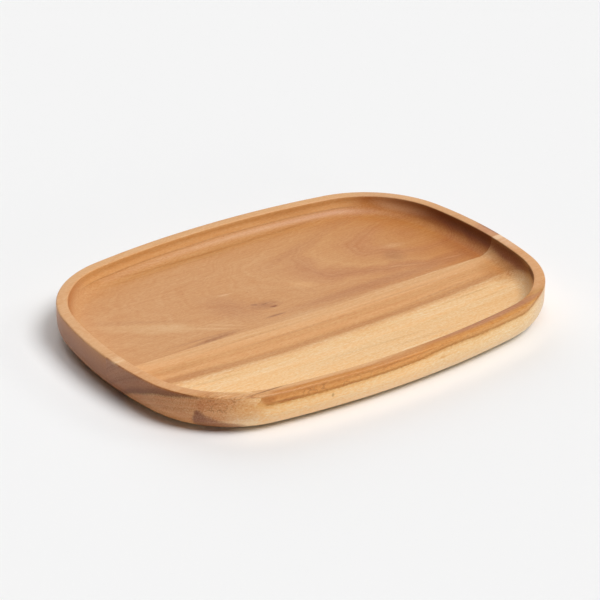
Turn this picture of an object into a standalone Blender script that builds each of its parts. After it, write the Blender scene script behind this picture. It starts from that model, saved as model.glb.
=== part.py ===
"""Low oval serving tray, hollowed and rounded from a panel of two edge-glued acacia boards.

The outline is a rounded rectangle with bowed sides: on each quarter a long-side arc, a corner arc and
an end arc run into each other in tangents. Every contour of the tray, from the flat underside up the
under-curve, over the rim and down the coved recess to the floor, is that outline moved inwards, so the
wall keeps one thickness all the way round. The glue joint runs the length of the tray a little in front
of its middle, and both the outside and the recess are cut through it, so each board carries its share
of rim, wall, cove and floor.

Metres, +Z up. The origin is the middle of the underside; +X runs along the tray's length.
"""
import math

import bmesh
import bpy
from mathutils import Vector

# Overall size of the tray
LENGTH = 0.300
WIDTH = 0.220
HEIGHT = 0.025

# Arcs of the outline
LONG_SIDE_RADIUS = 0.541
END_RADIUS = 0.265
CORNER_RADIUS = 0.068

# Outside: the under-curve that lifts the wall off the table, and the eased outer edge of the rim
UNDER_CURVE_RADIUS = 0.014
OUTER_EDGE_RADIUS = 0.0012

# Recess: flat rim, eased inner edge, wall, cove and flat floor
RIM_WIDTH = 0.0073
INNER_EDGE_RADIUS = 0.0008
RECESS_DEPTH = 0.012
COVE_RADIUS = 0.010

# Glue joint: how far it lies in front of the tray's middle, its angle to the length, and its clearance
JOINT_SETBACK = 0.0113
JOINT_ANGLE = math.radians(-0.7)
GLUE_GAP = 0.0003

# Waste that each rough plank has round the finished tray
MACHINING_ALLOWANCE = 0.004

# Segments of each outline arc, and of each round of the wall's section
LONG_SIDE_SEGMENTS = 9
CORNER_SEGMENTS = 12
END_SEGMENTS = 8
EDGE_SEGMENTS = 3
CURVE_SEGMENTS = 9

# A round never takes more than this share of the wall that it stands on
LARGEST_ROUND_SHARE = 0.95

# Edges steeper than this stay crisp
CRISP_ANGLE = math.radians(30)

QUARTER_TURN = math.pi / 2

# Oiled wood, read from the photograph: colour and roughness of each board
HEARTWOOD = ((0.58, 0.32, 0.15), 0.45)
SAPWOOD = ((0.84, 0.57, 0.29), 0.45)


def clear_scene():
    """Removes whatever the file holds."""
    for item in list(bpy.data.objects):
        bpy.data.objects.remove(item, do_unlink=True)


def oiled_wood(name, colour, roughness):
    """Returns a plain oiled-wood material."""
    material = bpy.data.materials.new(name)
    material.use_nodes = True
    shader = material.node_tree.nodes["Principled BSDF"]
    shader.inputs["Base Color"].default_value = (*colour, 1.0)
    shader.inputs["Roughness"].default_value = roughness
    shader.inputs["Metallic"].default_value = 0.0
    return material


def corner_centre(side_centre, end_centre):
    """Returns the corner arc's centre.

    The corner arc touches the long-side arc and the end arc from inside, so its centre lies from each
    of their centres by the difference of the radii.
    """
    to_side = LONG_SIDE_RADIUS - CORNER_RADIUS
    to_end = END_RADIUS - CORNER_RADIUS
    between = end_centre - side_centre
    span = between.length
    along = (span ** 2 + to_side ** 2 - to_end ** 2) / (2 * span)
    across = math.sqrt(to_side ** 2 - along ** 2)
    forward = between / span
    outward = Vector((forward.y, -forward.x))
    return side_centre + forward * along + outward * across


def quarter_arcs():
    """Returns the arcs of one quarter, from the long side's middle to the end's middle.

    Each arc is its centre, radius, start angle, end angle and number of segments.
    """
    side_centre = Vector((0.0, WIDTH / 2 - LONG_SIDE_RADIUS))
    end_centre = Vector((LENGTH / 2 - END_RADIUS, 0.0))
    corner = corner_centre(side_centre, end_centre)
    from_side = corner - side_centre
    from_end = corner - end_centre
    side_turn = math.atan2(from_side.y, from_side.x)
    end_turn = math.atan2(from_end.y, from_end.x)
    return (
        (side_centre, LONG_SIDE_RADIUS, QUARTER_TURN, side_turn, LONG_SIDE_SEGMENTS),
        (corner, CORNER_RADIUS, side_turn, end_turn, CORNER_SEGMENTS),
        (end_centre, END_RADIUS, end_turn, 0.0, END_SEGMENTS),
    )


def outline(inset):
    """Returns the whole outline, moved inwards by an inset, as points that run counterclockwise."""
    quarter = []
    for centre, radius, start, end, segments in quarter_arcs():
        for step in range(segments):
            turn = start + (end - start) * step / segments
            quarter.append(centre + Vector((math.cos(turn), math.sin(turn))) * (radius - inset))
    end_middle = Vector((LENGTH / 2 - inset, 0.0))
    front = [Vector((point.x, -point.y)) for point in reversed(quarter)]
    right_half = quarter + [end_middle] + front
    left_half = [Vector((-point.x, point.y)) for point in reversed(right_half[1:-1])]
    return list(reversed(right_half + left_half))


def round_points(centre_inset, centre_height, radius, start, end, segments):
    """Returns a round of the wall's section as points of inset and height."""
    points = []
    for step in range(segments + 1):
        turn = start + (end - start) * step / segments
        points.append((centre_inset + radius * math.cos(turn), centre_height + radius * math.sin(turn)))
    return points


def outside_section():
    """Returns the outside of the wall's section, from the flat underside to the rim."""
    left = 2 * QUARTER_TURN
    wall = HEIGHT - OUTER_EDGE_RADIUS
    curve = min(UNDER_CURVE_RADIUS, LARGEST_ROUND_SHARE * wall)
    under_curve = round_points(curve, curve, curve, left + QUARTER_TURN, left, CURVE_SEGMENTS)
    edge = OUTER_EDGE_RADIUS
    outer_edge = round_points(edge, wall, edge, left, QUARTER_TURN, EDGE_SEGMENTS)
    return under_curve + outer_edge


def recess_section():
    """Returns the inside of the wall's section, from the rim down to the flat floor."""
    left = 2 * QUARTER_TURN
    floor = HEIGHT - RECESS_DEPTH
    edge = INNER_EDGE_RADIUS
    inner_edge = round_points(RIM_WIDTH - edge, HEIGHT - edge, edge, QUARTER_TURN, 0.0, EDGE_SEGMENTS)
    curve = min(COVE_RADIUS, LARGEST_ROUND_SHARE * (RECESS_DEPTH - edge))
    cove = round_points(RIM_WIDTH + curve, floor + curve, curve, left, left + QUARTER_TURN, CURVE_SEGMENTS)
    return inner_edge + cove


def close_band(bm, lower, upper):
    """Closes the band between two rings of vertices with one face at each station."""
    next_lower = lower[1:] + lower[:1]
    next_upper = upper[1:] + upper[:1]
    for corners in zip(lower, next_lower, next_upper, upper):
        bm.faces.new(corners)


def machined_form():
    """Makes the guide that both planks are cut to: the outside and recess of the whole tray."""
    mesh = bpy.data.meshes.new("machined_form")
    bm = bmesh.new()
    rings = []
    for inset, height in outside_section() + recess_section():
        rings.append([bm.verts.new((point.x, point.y, height)) for point in outline(inset)])
    underside = rings[0]
    floor = rings[-1]
    bm.faces.new(list(reversed(underside)))
    for lower, upper in zip(rings, rings[1:]):
        close_band(bm, lower, upper)
    bm.faces.new(floor)
    bm.to_mesh(mesh)
    bm.free()
    form = bpy.data.objects.new("machined_form", mesh)
    form.hide_render = True
    form.display_type = "WIRE"
    bpy.context.collection.objects.link(form)
    return form


def rough_plank(name, side):
    """Makes a rough rectangular plank in its own frame, whose X axis is the glue joint.

    side is 1 for the plank behind the joint and -1 for the one in front of it.
    """
    half_length = LENGTH / 2 + MACHINING_ALLOWANCE
    run_out = half_length * math.sin(abs(JOINT_ANGLE))
    reach = WIDTH / 2 + side * JOINT_SETBACK + run_out + MACHINING_ALLOWANCE
    glued_edge = side * GLUE_GAP / 2
    outer_edge = side * reach
    corners = (
        (-half_length, glued_edge),
        (half_length, glued_edge),
        (half_length, outer_edge),
        (-half_length, outer_edge),
    )
    mesh = bpy.data.meshes.new(name)
    bm = bmesh.new()
    face = bm.faces.new([bm.verts.new((x, y, -MACHINING_ALLOWANCE)) for x, y in corners])
    raised = bmesh.ops.extrude_face_region(bm, geom=[face])
    top = [item for item in raised["geom"] if isinstance(item, bmesh.types.BMVert)]
    thickness = HEIGHT + 2 * MACHINING_ALLOWANCE
    bmesh.ops.translate(bm, verts=top, vec=(0.0, 0.0, thickness))
    bmesh.ops.recalc_face_normals(bm, faces=bm.faces)
    bm.to_mesh(mesh)
    bm.free()
    plank = bpy.data.objects.new(name, mesh)
    plank.location = (0.0, -JOINT_SETBACK, 0.0)
    plank.rotation_euler.z = JOINT_ANGLE
    bpy.context.collection.objects.link(plank)
    return plank


def machine(plank, form):
    """Cuts a rough plank to the form and shades its rounds smooth, with flat edges kept crisp."""
    cut = plank.modifiers.new("machining", "BOOLEAN")
    cut.operation = "INTERSECT"
    cut.solver = "EXACT"
    cut.object = form
    graph = bpy.context.evaluated_depsgraph_get()
    finished = bpy.data.meshes.new_from_object(plank.evaluated_get(graph))
    plank.modifiers.remove(cut)
    rough = plank.data
    plank.data = finished
    bpy.data.meshes.remove(rough)
    finished.name = plank.name
    finished.shade_smooth()
    finished.set_sharp_from_angle(angle=CRISP_ANGLE)


def board(name, side, form, wood):
    """Makes one finished board of the tray."""
    plank = rough_plank(name, side)
    machine(plank, form)
    plank.data.materials.clear()
    plank.data.materials.append(wood)
    return plank


def build():
    """Makes the tray: its two boards under one empty."""
    clear_scene()
    tray = bpy.data.objects.new("tray", None)
    bpy.context.collection.objects.link(tray)
    form = machined_form()
    boards = (
        board("rear_board", 1, form, oiled_wood("oiled_acacia_heartwood", *HEARTWOOD)),
        board("front_board", -1, form, oiled_wood("oiled_acacia_sapwood", *SAPWOOD)),
    )
    for plank in boards:
        plank.parent = tray


build()
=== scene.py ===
"""Oiled acacia serving tray of two edge-glued boards, on a pale studio table.

Laid out as an add-on: property groups for the sizes, colours and light, one operator for each board
and one for the stage, and a panel that lists them.
"""
import math
import typing

import bpy
from mathutils import Matrix, Vector


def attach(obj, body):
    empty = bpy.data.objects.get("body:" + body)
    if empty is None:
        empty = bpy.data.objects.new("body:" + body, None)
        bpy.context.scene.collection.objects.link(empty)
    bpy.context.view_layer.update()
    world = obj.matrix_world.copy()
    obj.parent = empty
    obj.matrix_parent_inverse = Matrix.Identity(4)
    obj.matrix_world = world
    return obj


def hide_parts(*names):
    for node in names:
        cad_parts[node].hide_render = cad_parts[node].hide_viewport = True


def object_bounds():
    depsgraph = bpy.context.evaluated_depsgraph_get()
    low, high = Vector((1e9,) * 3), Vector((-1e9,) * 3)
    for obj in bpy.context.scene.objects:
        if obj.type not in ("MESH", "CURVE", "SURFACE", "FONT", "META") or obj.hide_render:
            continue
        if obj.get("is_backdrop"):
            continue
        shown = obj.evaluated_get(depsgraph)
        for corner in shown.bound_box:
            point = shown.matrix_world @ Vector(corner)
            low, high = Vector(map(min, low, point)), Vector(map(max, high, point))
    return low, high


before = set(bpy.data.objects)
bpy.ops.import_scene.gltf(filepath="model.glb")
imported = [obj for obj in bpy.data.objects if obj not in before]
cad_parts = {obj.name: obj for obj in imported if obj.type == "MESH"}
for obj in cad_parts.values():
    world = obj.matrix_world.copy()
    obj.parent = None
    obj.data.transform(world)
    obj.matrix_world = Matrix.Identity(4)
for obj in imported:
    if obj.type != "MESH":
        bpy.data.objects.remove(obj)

bl_info = {
    "name": "Acacia Serving Tray",
    "version": (1, 0, 0),
    "blender": (4, 5, 0),
    "location": "3D View > Sidebar > Tray",
    "description": "Makes a hollowed tray of two edge-glued acacia boards, with its table and light",
    "category": "Object",
}

CAD_LOWEST, CAD_HIGHEST = (Vector(corner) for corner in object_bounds())
CAD_SIZE = CAD_HIGHEST - CAD_LOWEST

QUARTER_TURN = math.pi / 2

# Radius of the bowed long sides, which the marks along the front rim follow too
LONG_SIDE_RADIUS = 0.541

# Fineness of the mesh: steps on each outline arc, and on the large and small rounds of the section
OUTLINE_STEPS = 36
ROUND_STEPS = 15
EDGE_STEPS = 5

# Waste that a plank has round the finished tray, and the distance within which corners are one
PLANK_WASTE = 0.004
MERGE_DISTANCE = 0.000001

# Edges steeper than this stay crisp
CRISP_ANGLE = math.radians(40)

# The node tree of both boards, in which an edge with fewer faces than this is open
BOARD_TREE = "Machined tray board"
OPEN_EDGE_FACES = 1.5

# Width of the sensor that the lens is given for, in millimetres
SENSOR_WIDTH = 36.0

# The sRGB curve: a straight slope up to its knee, and above that a shifted power
SRGB_KNEE = 0.04045
SRGB_SLOPE = 12.92
SRGB_SHIFT = 0.055
SRGB_POWER = 2.4

# Matt paper scatters nearly all of its light
PAPER_ROUGHNESS = 0.9
PAPER_SHEEN = 0.1

# The wood's figure is placed in millimetres
MILLIMETRES = 1000.0

# The middle of noise, and how many times finer noise is laid over it in wood, rings and sanding
NOISE_MIDDLE = 0.5
NOISE_DETAIL = 2.0
RING_DETAIL = 3.0
WAVE_DETAIL = 1.0

# The grain's bends come this many times closer across it than along it
SWAY_CLOSER = 3

# Sockets of the colour Mix node
MIX_UNDER = 6
MIX_OVER = 7
MIX_RESULT = 2


class Mark(typing.NamedTuple):
    """A local mark in the wood: an ellipsoid in millimetres, turned about the vertical in degrees.

    softness is the share of its half size over which it fades, and fray how ragged it is. A dent in the
    heartwood is a mark whose strength is its depth in millimetres.
    """

    centre: tuple
    half_size: tuple
    turn: float
    colour: str
    strength: float
    softness: float = 0.8
    fray: float = 0.4


# The rear board's loops: their heart, how blunt their tips are, how they widen away from it, how fast they
# move outwards above the floor, and how far and in how long bends they wander
LOOP_HEART = (116.0, 42.0, 13.0)
LOOP_TIP = 2.0
LOOP_WIDTH = 1.84
LOOP_TAPER = 0.70
LOOP_SLANT = 2.0
LOOP_WANDER = 16.0
LOOP_WANDER_SIZE = 26.0

# Colours from the heart of the loops outwards, as the rings' lighter and darker wood alternate
REAR_LOOPS = (
    (0, "#D09A66"), (16, "#CE9764"), (20, "#CA9062"), (23, "#C68C5E"), (27, "#CC9362"), (32, "#CF9865"),
    (36.5, "#D39D6A"), (40, "#C78D5F"), (43.5, "#C0855A"), (47, "#C78D5F"), (52, "#D09866"),
    (60, "#CE9563"), (67, "#CA905F"), (77, "#CF9868"), (92, "#CE9764"), (105, "#CA8F5A"),
    (140, "#CE9256"),
)

# Away from their lower left arcs, which are shown, the loops are only a hint in plain wood
REAR_PLAIN = "#CD9662"
LOOPS_HINT = 0.30
LOOPS_SHOWN = Mark((84, 22, 16), (88, 56, 30), 0, "", 0.6, 0.5)

# How the rear board darkens from left to right
REAR_LENGTHWISE = (
    (-150, "#FFFFFF"), (10, "#FFFFFF"), (60, "#FBF5E9"), (95, "#F7EBD8"), (112, "#F3DFBB"),
    (130, "#EDD3A8"), (150, "#E3C8A0"),
)

# Marks of the rear board: dark streaks along the joint, small knots, clouds and pale streaks on the floor,
# and the cove and inner wall round it
REAR_MARKS = (
    Mark((-72, -8.4, 13), (26, 3.4, 10), 2, "#9C633E", 0.75, 1, 0.6),
    Mark((-78, -4.6, 13), (34, 1.6, 10), -4, "#B47A50", 0.5),
    Mark((-22, 11, 13), (15, 8, 10), -10, "#A66C47", 0.6, 0.9, 0.7),
    Mark((-18, 6.4, 13), (3.8, 1.7, 6), -5, "#8A4E30", 0.85, 0.8),
    Mark((-27, 15, 13), (3.2, 1.4, 6), -25, "#90583A", 0.7),
    Mark((-21, 12.5, 13), (4, 1, 6), 8, "#8E5838", 0.6),
    Mark((-24, -4.2, 13), (10, 1.6, 6), -2, "#935A3A", 0.7),
    Mark((-35, 37, 13), (7, 1.4, 6), -8, "#E6BB90", 0.6),
    Mark((50, -5, 13), (90, 8, 14), -0.7, "#B5794F", 0.55, 0.8, 0.6),
    Mark((-42, 20, 13), (20, 30, 16), 24, "#B57A52", 0.45, 1, 0.7),
    Mark((88, 21, 13), (11, 13, 10), -20, "#A66D44", 0.5, 0.9, 0.6),
    Mark((86, 5, 13), (24, 1.4, 8), -24, "#DBA878", 0.35),
    Mark((116, -2, 13), (18, 1.2, 8), -8, "#D6A06C", 0.35),
    Mark((97, 33, 13), (11, 4, 6), -12, "#D9A474", 0.5, 0.9, 0.7),
    Mark((116, 44, 13), (13, 18, 8), -15, "#B87440", 0.45, 0.9, 0.7),
    Mark((14, 21, 13), (14, 7, 8), -36, "#DDA872", 0.55, 0.9, 0.6),
    Mark((30, 62, 13), (30, 5, 10), 20, "#BC8052", 0.4, 0.9, 0.7),
    Mark((132, 6, 13.5), (14, 34, 3.2), 0, "#AC6634", 0.6, 1, 0.5),
    Mark((5, 93.2, 13.6), (118, 1.6, 3), 0, "#B67C46", 0.7),
    Mark((-20, 88, 13.6), (100, 1.2, 3), 0, "#BF8550", 0.45),
    Mark((135, 72, 21.5), (24, 40, 7), 0, "#E6B586", 0.9, 0.6, 0.3),
    # Painted shade: these two dark marks darken the top of the right inner wall, which the rim shades
    Mark((137, 6, 21), (10, 50, 5.4), 0, "#8E5830", 0.75, 0.7),
    Mark((139, -6, 21.6), (8, 9, 6), 0, "#8A5430", 0.4, 0.7),
)

# Marks on the rear board's rim, and one on the inner wall under it
REAR_RIM_MARKS = (
    Mark((147, -4, 25.2), (9, 16, 1.6), 0, "#C68B64", 0.85, 0.7, 0.5),
    Mark((150, -4, 25.2), (3.4, 22, 1.8), 0, "#9A6450", 0.8, 0.7, 0.4),
    Mark((149.5, 30, 25.2), (4, 46, 1.6), 3, "#CF9C78", 0.6, 0.9, 0.6),
    Mark((124, 82, 25.2), (30, 22, 1.6), -40, "#D29F72", 0.6, 0.9, 0.6),
    Mark((-20, 107, 25.2), (70, 2, 1.6), 0, "#CF9A68", 0.5, 0.9, 0.7),
    Mark((64, 103, 20.5), (42, 10, 4.4), 0, "#C58A50", 0.55, 0.9, 0.5),
)

# The rear wall inside the recess: painted shade that multiplies the colour by height, with a dark line of
# painted shade where the cutter left a small crease, and the golden tone of its upper part
REAR_WALL_PAINTED_SHADE = (
    (13, "#FDFAEC"), (13.4, "#F6F0DC"), (14.2, "#F7F1DC"), (15.6, "#F8F2DC"), (17.1, "#F4EEDC"),
    (17.7, "#DDD2BC"), (18.3, "#F6F0E0"), (20, "#FAF6EC"), (22, "#EFE8D4"), (24.6, "#F8F5E8"),
)
REAR_WALL_COLOUR = "#DDA770"
REAR_WALL_FROM = 84.0
REAR_WALL_WITHIN = 8.0
REAR_WALL_FOOT = 16.0
REAR_WALL_HEAD = 19.0

# The pale feather at the left and its tails, whose lines run down to the right
FEATHER_TURN = -32.0
FEATHER_MARKS = (
    Mark((-99, 26, 13), (40, 10, 16), FEATHER_TURN, "#DAAE7E", 0.6, 0.9, 1),
    Mark((-85, 17, 13), (17, 7.5, 16), FEATHER_TURN, "#DCB080", 0.45, 0.8, 0.8),
    Mark((-66, 3, 13), (24, 2.2, 14), -34, "#DDB080", 0.6, 0.9, 0.9),
    Mark((-56, 2, 13), (20, 1.8, 14), -37, "#DCAD7D", 0.5, 0.9, 0.9),
    Mark((-108, 41, 13), (26, 5, 14), -30, "#C58D5C", 0.6, 0.9, 0.9),
    Mark((-84, 27, 13), (26, 3, 14), -31, "#C08858", 0.35, 0.9, 0.9),
)

# Painted sheen: the rim's flat top is painted paler than the floor, for the brighter shine of the oil on it
REAR_RIM = "#DDA976"
FRONT_RIM = "#D8A16E"
RIM_SHEEN_FROM = 24.2
RIM_SHEEN_WITHIN = 0.6
RIM_SHEEN_SHARE = 0.75

# The front board's heartwood: the height of its bottom under the front rim, its tilt along the tray, the
# line in front of which that bottom is level, how that line swings and bows along the tray, and how the
# bottom falls behind it
HEARTWOOD_BOTTOM = 19.4
HEARTWOOD_TILT = 0.013
HEARTWOOD_EDGE = -68.5
HEARTWOOD_SWING = 0.028
HEARTWOOD_BOW = 7.5
HEARTWOOD_HALF_BOW = 130.0
HEARTWOOD_SLOPE = 0.14
HEARTWOOD_BEND = 0.0078
HEARTWOOD_DENTS = (
    Mark((30, -109, 20), (26, 12, 12), 0, "", 1.5, 0.8, 0.3),
    Mark((122, -94, 21), (36, 12, 13), 30, "", 5, 0.8, 0.3),
)

# How ragged the heartwood's bottom is, and how it rises towards the front left corner, up to a line
# where the sapwood ends abruptly
HEARTWOOD_WOBBLE = 1.6
CORNER_FROM = -45.0
CORNER_RISE = 0.20
CORNER_ENDS = -101.0
CORNER_ENDS_WITHIN = 3.0

# Colours from the sapwood up into the heartwood: behind the front rim, and on it and the front wall
FRONT_FLOOR_LAYERS = (
    (-9, "#EEC18A"), (-6.4, "#EBBF88"), (-5.8, "#F1C58E"), (-4.6, "#EEC18A"), (-3.1, "#EDC189"),
    (-2.2, "#EBBC83"), (-1.2, "#E4B179"), (-0.3, "#D5A069"), (0.5, "#CB925B"), (1.6, "#C58B56"),
    (2.6, "#CE945B"), (3.8, "#D89C62"), (5.5, "#DB9F65"), (8.5, "#D59A60"), (11, "#D89E64"),
    (13, "#DFA66E"), (16.5, "#E1AB74"), (19, "#DBA670"), (21, "#DEAB76"), (23.4, "#DAA672"),
    (26, "#D09B69"),
)
FRONT_WALL_LAYERS = (
    (-16, "#F8D5A6"), (-11, "#F9CC94"), (-8, "#F6CC96"), (-5, "#F9CC92"), (-2.6, "#F5C88D"),
    (-1.4, "#F0BC7A"), (-0.6, "#E2A862"), (0, "#C68740"), (0.7, "#C8853D"), (1.8, "#DB9A52"),
    (2.8, "#DE9E57"), (3.8, "#D28C45"), (5, "#CF8942"), (6, "#C98A50"), (12, "#CB8F5A"),
)

# The outside of the left end is end grain: browner, with a dark seam over the sapwood
END_WALL_LAYERS = (
    (-26, "#E2A66C"), (-18, "#DC9E65"), (-14, "#D8985F"), (-11, "#DEA068"), (-8, "#D1925A"),
    (-6, "#DB9D66"), (-4, "#CF9059"), (-2.4, "#D5965E"), (-1.2, "#C88A53"), (-0.2, "#A36A36"),
    (0.6, "#8F5824"), (1.8, "#935627"), (3, "#9E5F30"), (5, "#AD6E40"), (7, "#B4764A"), (10, "#A6693E"),
    (13, "#B1754B"), (17, "#BA7C50"), (21, "#AE7047"), (26, "#BC7E54"), (34, "#B07249"), (45, "#B87A52"),
)
END_WALL_FROM = 0.35
END_WALL_FULL = 0.65

# Between these two lines the floor's colours give way to the wall's, towards the front
FRONT_WALL_BEHIND = -84.0
FRONT_WALL_FROM = -90.0

# How the front wall grows cooler from left to right
FRONT_LENGTHWISE = (
    (-150, "#FFFFFF"), (5, "#FFFFFF"), (25, "#F9FCFF"), (80, "#F7FCFF"), (100, "#F2F9FF"),
    (120, "#E6EEFF"), (150, "#DCE6FF"),
)

# Marks of the front board: patches and streaks on the floor, and the cove, inner wall and rim at its
# right end
FRONT_MARKS = (
    Mark((-112, -27, 13), (28, 6, 10), -3, "#CB9055", 0.7, 0.9, 0.7),
    Mark((-112, -38, 13), (44, 5, 10), -4, "#B97E4A", 0.45, 0.9, 0.7),
    Mark((80, -37, 13), (46, 1.8, 8), 5, "#BE8450", 0.45, 0.8, 0.5),
    Mark((-20, -28, 13), (80, 1.4, 8), -1, "#C48A56", 0.45, 0.8, 0.7),
    Mark((60, -24, 13), (70, 1.2, 8), 1, "#C88F5B", 0.45, 0.8, 0.7),
    Mark((-60, -19, 13), (60, 1, 8), -1, "#C8905C", 0.4, 0.8, 0.7),
    Mark((92, -50, 13), (34, 1.3, 6), 2, "#D8A56C", 0.6),
    Mark((104, -58, 13), (26, 1.2, 6), 3, "#DFAE76", 0.45),
    Mark((8, -71, 13), (56, 1.5, 6), -3, "#DBAC76", 0.45),
    Mark((-104, -51, 13), (30, 1.8, 6), -4, "#DBAA72", 0.5),
    Mark((34, -79, 13), (40, 2.4, 6), -2, "#DDAE78", 0.45),
    Mark((-70, -60, 13), (40, 1.6, 6), -4, "#F6CC97", 0.55),
    Mark((134, -38, 13.8), (24, 26, 4), 0, "#BE7C3A", 0.75, 0.9, 0.6),
    Mark((137, -64, 14), (14, 18, 4), -40, "#D79F5E", 0.6, 0.9, 0.6),
    # Painted shade: these two dark marks darken the top of the right inner wall, which the rim shades
    Mark((138.5, -34, 20.4), (9, 30, 5.2), -6, "#A35E36", 0.85, 0.6, 0.5),
    Mark((129.5, -67, 22.8), (7, 15, 2.2), -31, "#864A16", 0.75, 0.6, 0.5),
    Mark((146, -24, 25.4), (8, 22, 1.6), 4, "#E2B48C", 0.75, 0.9, 0.6),
    Mark((146, -15, 25.4), (8, 4, 1.8), 0, "#EDC7A0", 0.8, 0.6, 0.4),
)

# Marks of the left end: the tan stain on the corner with streaks across it, the dark triangle under it, the
# pale patch on the rim by the joint, and the rounded end of the brown band
CORNER_MARKS = (
    Mark((-119, -90, 25.6), (34, 10, 2.2), -36, "#CF965E", 0.9, 0.5, 0.3),
    Mark((-102, -99, 25.6), (12, 7, 2.6), -20, "#D39B63", 0.95, 0.4, 0.2),
    Mark((-119, -89, 20.5), (19, 8, 7), -40, "#D39055", 0.8, 0.8, 0.7),
    Mark((-126, -84, 22), (9, 6, 4.5), -44, "#C98146", 0.5, 0.8, 0.7),
    Mark((-130, -80.5, 18.5), (5, 4, 5), -48, "#C87E44", 0.6, 0.8, 0.8),
    Mark((-118, -88, 25), (8, 1.1, 1.4), -16, "#E4B380", 0.7),
    Mark((-113, -93, 25), (11, 0.9, 1.4), -20, "#A9713E", 0.7),
    Mark((-105, -97, 25), (9, 1, 1.4), -14, "#A06A3A", 0.7),
    Mark((-124, -84.5, 25), (6, 1, 1.4), -24, "#B67C46", 0.6),
    Mark((-131, -79.5, 8.4), (5.2, 8, 8), -47, "#955C38", 0.85, 0.4, 0.3),
    Mark((-129, -81.5, 6), (9.5, 8, 7.8), -46, "#A06843", 0.75, 0.35, 0.3),
    Mark((-126, -84, 3.6), (14.5, 9, 7.4), -45, "#A46C46", 0.75, 0.35, 0.3),
    Mark((-120, -88.5, 2.4), (21, 9, 5.8), -42, "#AC734A", 0.8, 0.35, 0.3),
    Mark((-132, -78.5, 14), (2.6, 5, 2.2), -50, "#8C4C22", 0.8, 0.7, 0.4),
    Mark((-146, -17, 25), (8, 6, 3), 0, "#E8BC8C", 0.7),
    Mark((-109, -97, 16.5), (15, 9, 11), -30, "#E4A766", 0.8, 0.9, 0.4),
    Mark((-102.5, -100.5, 18.4), (5, 5, 2.4), -10, "#E8B06C", 0.9, 0.5, 0.3),
    Mark((-103.5, -100, 25.2), (4, 5, 1.8), -10, "#D59D63", 0.9, 0.5, 0.3),
)

# Marks along the front rim, its brown band and the wall under them, which follow the rim's bow
RIM_MARKS = (
    Mark((-58, -104.2, 25), (78, 3.4, 2.6), 0, "#DFAA74", 0.95, 0.6, 0.2),
    Mark((72, -104.6, 25), (80, 4, 2.6), 0, "#B87D58", 0.85, 0.7, 0.4),
    Mark((62, -102.9, 25), (56, 1.4, 2.2), 0, "#965F40", 0.5, 0.8, 0.4),
    Mark((-94, -104.6, 25), (20, 1.1, 2), 7, "#96602F", 0.85, 0.8, 0.3),
    Mark((-74, -102.8, 25), (24, 1.1, 2), 0, "#96602F", 0.75, 0.8, 0.3),
    Mark((-60, -109, 25.4), (46, 2.5, 1.6), 0, "#C9863F", 0.9, 0.3, 0.2),
    Mark((-97, -109.5, 21.4), (6, 6, 3.2), 0, "#B46A2A", 0.6, 0.8, 0.5),
    Mark((-84, -110, 19.4), (16, 6, 1.3), 0, "#A9642A", 0.75, 0.8, 0.6),
    Mark((-30, -110, 19.2), (60, 5, 1), 1, "#B87636", 0.6, 0.8, 0.8),
    Mark((-30, -110, 23.6), (70, 5, 0.8), 0, "#C27E3E", 0.6, 0.8, 0.8),
    Mark((60, -110, 21.2), (40, 5, 0.9), 0, "#BE7E40", 0.55, 0.8, 0.8),
    Mark((-56, -110, 14.8), (1.3, 3, 1.9), 0, "#BC8038", 0.7),
    Mark((24, -110, 15.5), (5, 3, 1.4), 0, "#E4AC68", 0.6),
)

# Where the grain curls, thin dark lines wind through it: their colour, how far apart they lie along the
# grain and across it, and how far from its middle the noise that draws them still makes a line
CURL_COLOUR = "#A2622C"
CURL_LENGTH = 0.00756
CURL_SPACING = 0.0042
CURL_WIDTH = 0.04
CURL_MARKS = (
    Mark((-123, -86, 20.5), (14, 9, 8), -42, CURL_COLOUR, 0.6, 0.5, 0.3),
    Mark((-110, -96, 24), (12, 6, 3), -30, CURL_COLOUR, 0.5, 0.6, 0.3),
    Mark((-60, -108, 21.6), (44, 8, 3.6), 5, CURL_COLOUR, 0.5, 0.5, 0.3),
    Mark((20, -110, 22.4), (70, 7, 3.2), 0, CURL_COLOUR, 0.32, 0.5, 0.3),
)

# Oil soaks the pores darker. A pore opens where its noise is above the first value and is full above the
# second
PORE_TINT = "#BC9270"
PORE_FROM = 0.64
PORE_FULL = 0.76

# End grain drinks more oil: what it multiplies the colour by, by height, and from which slant it shows
REAR_END_LAYERS = (
    (3, "#DCC9C6"), (8, "#D7C2BD"), (12, "#D1B8AF"), (16, "#D8BEB3"), (20, "#E6CDBC"), (23, "#F4DCC4"),
    (25, "#FDF2E6"),
)
FRONT_END_LAYERS = ((3, "#F0E8E4"), (12, "#F2E8E0"), (25, "#FFFFFF"))
END_GRAIN_FROM = 0.45

# Painted shade: inside the recess the right end's wall darkens towards the rim, which shades it
INNER_RIGHT_PAINTED_SHADE = (
    (14.5, "#FFFFFF"), (18, "#F2F2F0"), (20.5, "#DADAD6"), (22.6, "#BEBAB4"), (24.8, "#BAB4AC"),
)

# How strong the fine grain is below and above a growth of nought: livelier in the front board's sapwood
# than in its heartwood, and alike all over the rear board. It changes within this many millimetres
FRONT_LIVELINESS = (2.3, 1.35)
REAR_LIVELINESS = (1.0, 1.0)
LIVELY_WITHIN = 1.0

# Linseed oil
OIL_IOR = 1.48


def linear(code):
    """Turns an sRGB hex colour into linear values with an alpha of 1."""
    channels = []
    for start in (1, 3, 5):
        value = int(code[start:start + 2], 16) / 255
        if value <= SRGB_KNEE:
            channels.append(value / SRGB_SLOPE)
        else:
            channels.append(((value + SRGB_SHIFT) / (1 + SRGB_SHIFT)) ** SRGB_POWER)
    return (*channels, 1.0)


def length(label, text, default):
    """Returns a property for a length in metres."""
    return bpy.props.FloatProperty(name=label, description=text, default=default, min=0.0, unit="LENGTH")


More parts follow.
